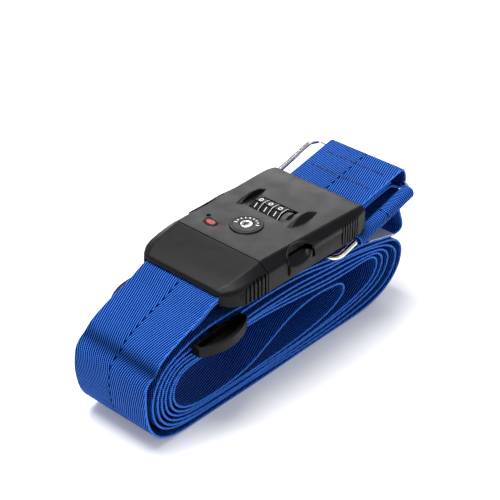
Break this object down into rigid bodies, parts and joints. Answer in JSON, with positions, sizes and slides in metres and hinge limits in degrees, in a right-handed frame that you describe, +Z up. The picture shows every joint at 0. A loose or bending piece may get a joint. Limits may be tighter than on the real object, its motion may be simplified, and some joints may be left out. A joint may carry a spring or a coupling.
{
  "type": "luggage strap",
  "caption": "Wound luggage strap of wide woven webbing with a combination and key buckle, side release buttons, a three-bar slider and a square wire ring.",
  "frame": {"origin": "middle of the footprint of the whole wound strap, on the surface that it stands on", "axes": "+X along the buckle from its front half to its rear half, +Y across the webbing, +Z up"},
  "size_m": [0.1988, 0.0744, 0.0795],
  "materials": {
    "webbing": "two-panel herringbone polyester webbing, blue",
    "ring_chrome": "polished chrome wire",
    "steel": "plain steel",
    "key_metal": "satin nickel",
    "wheel_plastic": "fine satin black",
    "grey_plastic": "satin grey",
    "brass_sleeve": "plain brass",
    "red_plastic": "moulded red",
    "label_fabric": "blank woven label",
    "slider_plastic": "moulded black",
    "buckle_plastic": "fine moulded grain, dark grey"
  },
  "bodies": {
    "root": {"blank_label": "label_fabric", "button_spring_left": "steel", "button_spring_right": "steel", "cover_screws": "steel", "key_disc": "buckle_plastic", "lock_badge": "red_plastic", "lock_chassis": "buckle_plastic", "locking_plate_spring": "steel", "long_strap": "webbing", "lower_cover": "buckle_plastic", "rear_strap_pin": "steel", "reset_spring": "steel", "ring_strap_tail": "webbing", "short_strap": "webbing", "strap_front_run": "webbing", "strap_front_tail": "webbing", "strap_ring_turn": "webbing", "upper_cover": "buckle_plastic", "wheel_axle": "steel", "wheel_detent_spring": "steel", "wheel_hub": "grey_plastic"},
    "front_half": {"front_upper_cap": "buckle_plastic", "front_lower_cap": "buckle_plastic", "front_tongue": "buckle_plastic", "front_strap_pin": "steel", "front_strap_loop": "webbing"},
    "slider": {"strap_slider": "slider_plastic"},
    "ring": {"ring_wire": "ring_chrome", "ring_strap_loop": "webbing"},
    "wheel_1": {"number_wheel_1": "wheel_plastic", "wheel_sleeve_1": "brass_sleeve"},
    "wheel_2": {"number_wheel_2": "wheel_plastic", "wheel_sleeve_2": "brass_sleeve"},
    "wheel_3": {"number_wheel_3": "wheel_plastic", "wheel_sleeve_3": "brass_sleeve"},
    "key": {"key_plug": "key_metal", "key_cam": "steel"},
    "reset": {"reset_button": "buckle_plastic"},
    "left_button": {"release_button_left": "buckle_plastic"},
    "right_button": {"release_button_right": "buckle_plastic"},
    "lock_plate": {"locking_plate": "steel"}
  },
  "joints": [
    {"name": "front_half_slide", "type": "slide", "parent": "root", "child": "front_half", "axis": [-1, 0, 0], "range_m": [0, 0.026], "deforming": ["strap_front_run", "strap_front_tail"]},
    {"name": "slider_slide", "type": "slide", "parent": "root", "child": "slider", "axis": [0.9978, 0, 0.0657], "range_m": [-0.001, 0.006]},
    {"name": "ring_swing", "type": "hinge", "parent": "root", "child": "ring", "pos_m": [0.09483, 0.00222, 0.072], "axis": [-0.0252, 0.9954, 0.0925], "range_deg": [-0.5, 0.2], "deforming": ["strap_ring_turn", "ring_strap_tail"]},
    {"name": "wheel_1_turn", "type": "hinge", "parent": "root", "child": "wheel_1", "pos_m": [0.01913, -0.00018, 0.0715], "axis": [0, 1, 0], "continuous": true},
    {"name": "wheel_2_turn", "type": "hinge", "parent": "root", "child": "wheel_2", "pos_m": [0.01913, -0.00018, 0.0715], "axis": [0, 1, 0], "continuous": true},
    {"name": "wheel_3_turn", "type": "hinge", "parent": "root", "child": "wheel_3", "pos_m": [0.01913, -0.00018, 0.0715], "axis": [0, 1, 0], "continuous": true},
    {"name": "key_turn", "type": "hinge", "parent": "root", "child": "key", "pos_m": [-0.00137, -0.00018, 0.07], "axis": [0, 0, 1], "range_deg": [0, 90]},
    {"name": "reset_press", "type": "slide", "parent": "root", "child": "reset", "axis": [0, 0, -1], "range_m": [0, 0.001], "stiffness_N_per_m": 200, "springref_m": -0.002, "deforming": ["reset_spring"]},
    {"name": "left_button_press", "type": "slide", "parent": "root", "child": "left_button", "axis": [0, -1, 0], "range_m": [0, 0.0022], "stiffness_N_per_m": 400, "springref_m": -0.0015, "deforming": ["button_spring_left"]},
    {"name": "right_button_press", "type": "slide", "parent": "root", "child": "right_button", "axis": [0, 1, 0], "range_m": [0, 0.0022], "stiffness_N_per_m": 400, "springref_m": -0.0015, "deforming": ["button_spring_right"]},
    {"name": "lock_plate_slide", "type": "slide", "parent": "root", "child": "lock_plate", "axis": [1, 0, 0], "range_m": [0, 0.001], "stiffness_N_per_m": 100, "springref_m": -0.001, "deforming": ["locking_plate_spring"]}
  ]
}
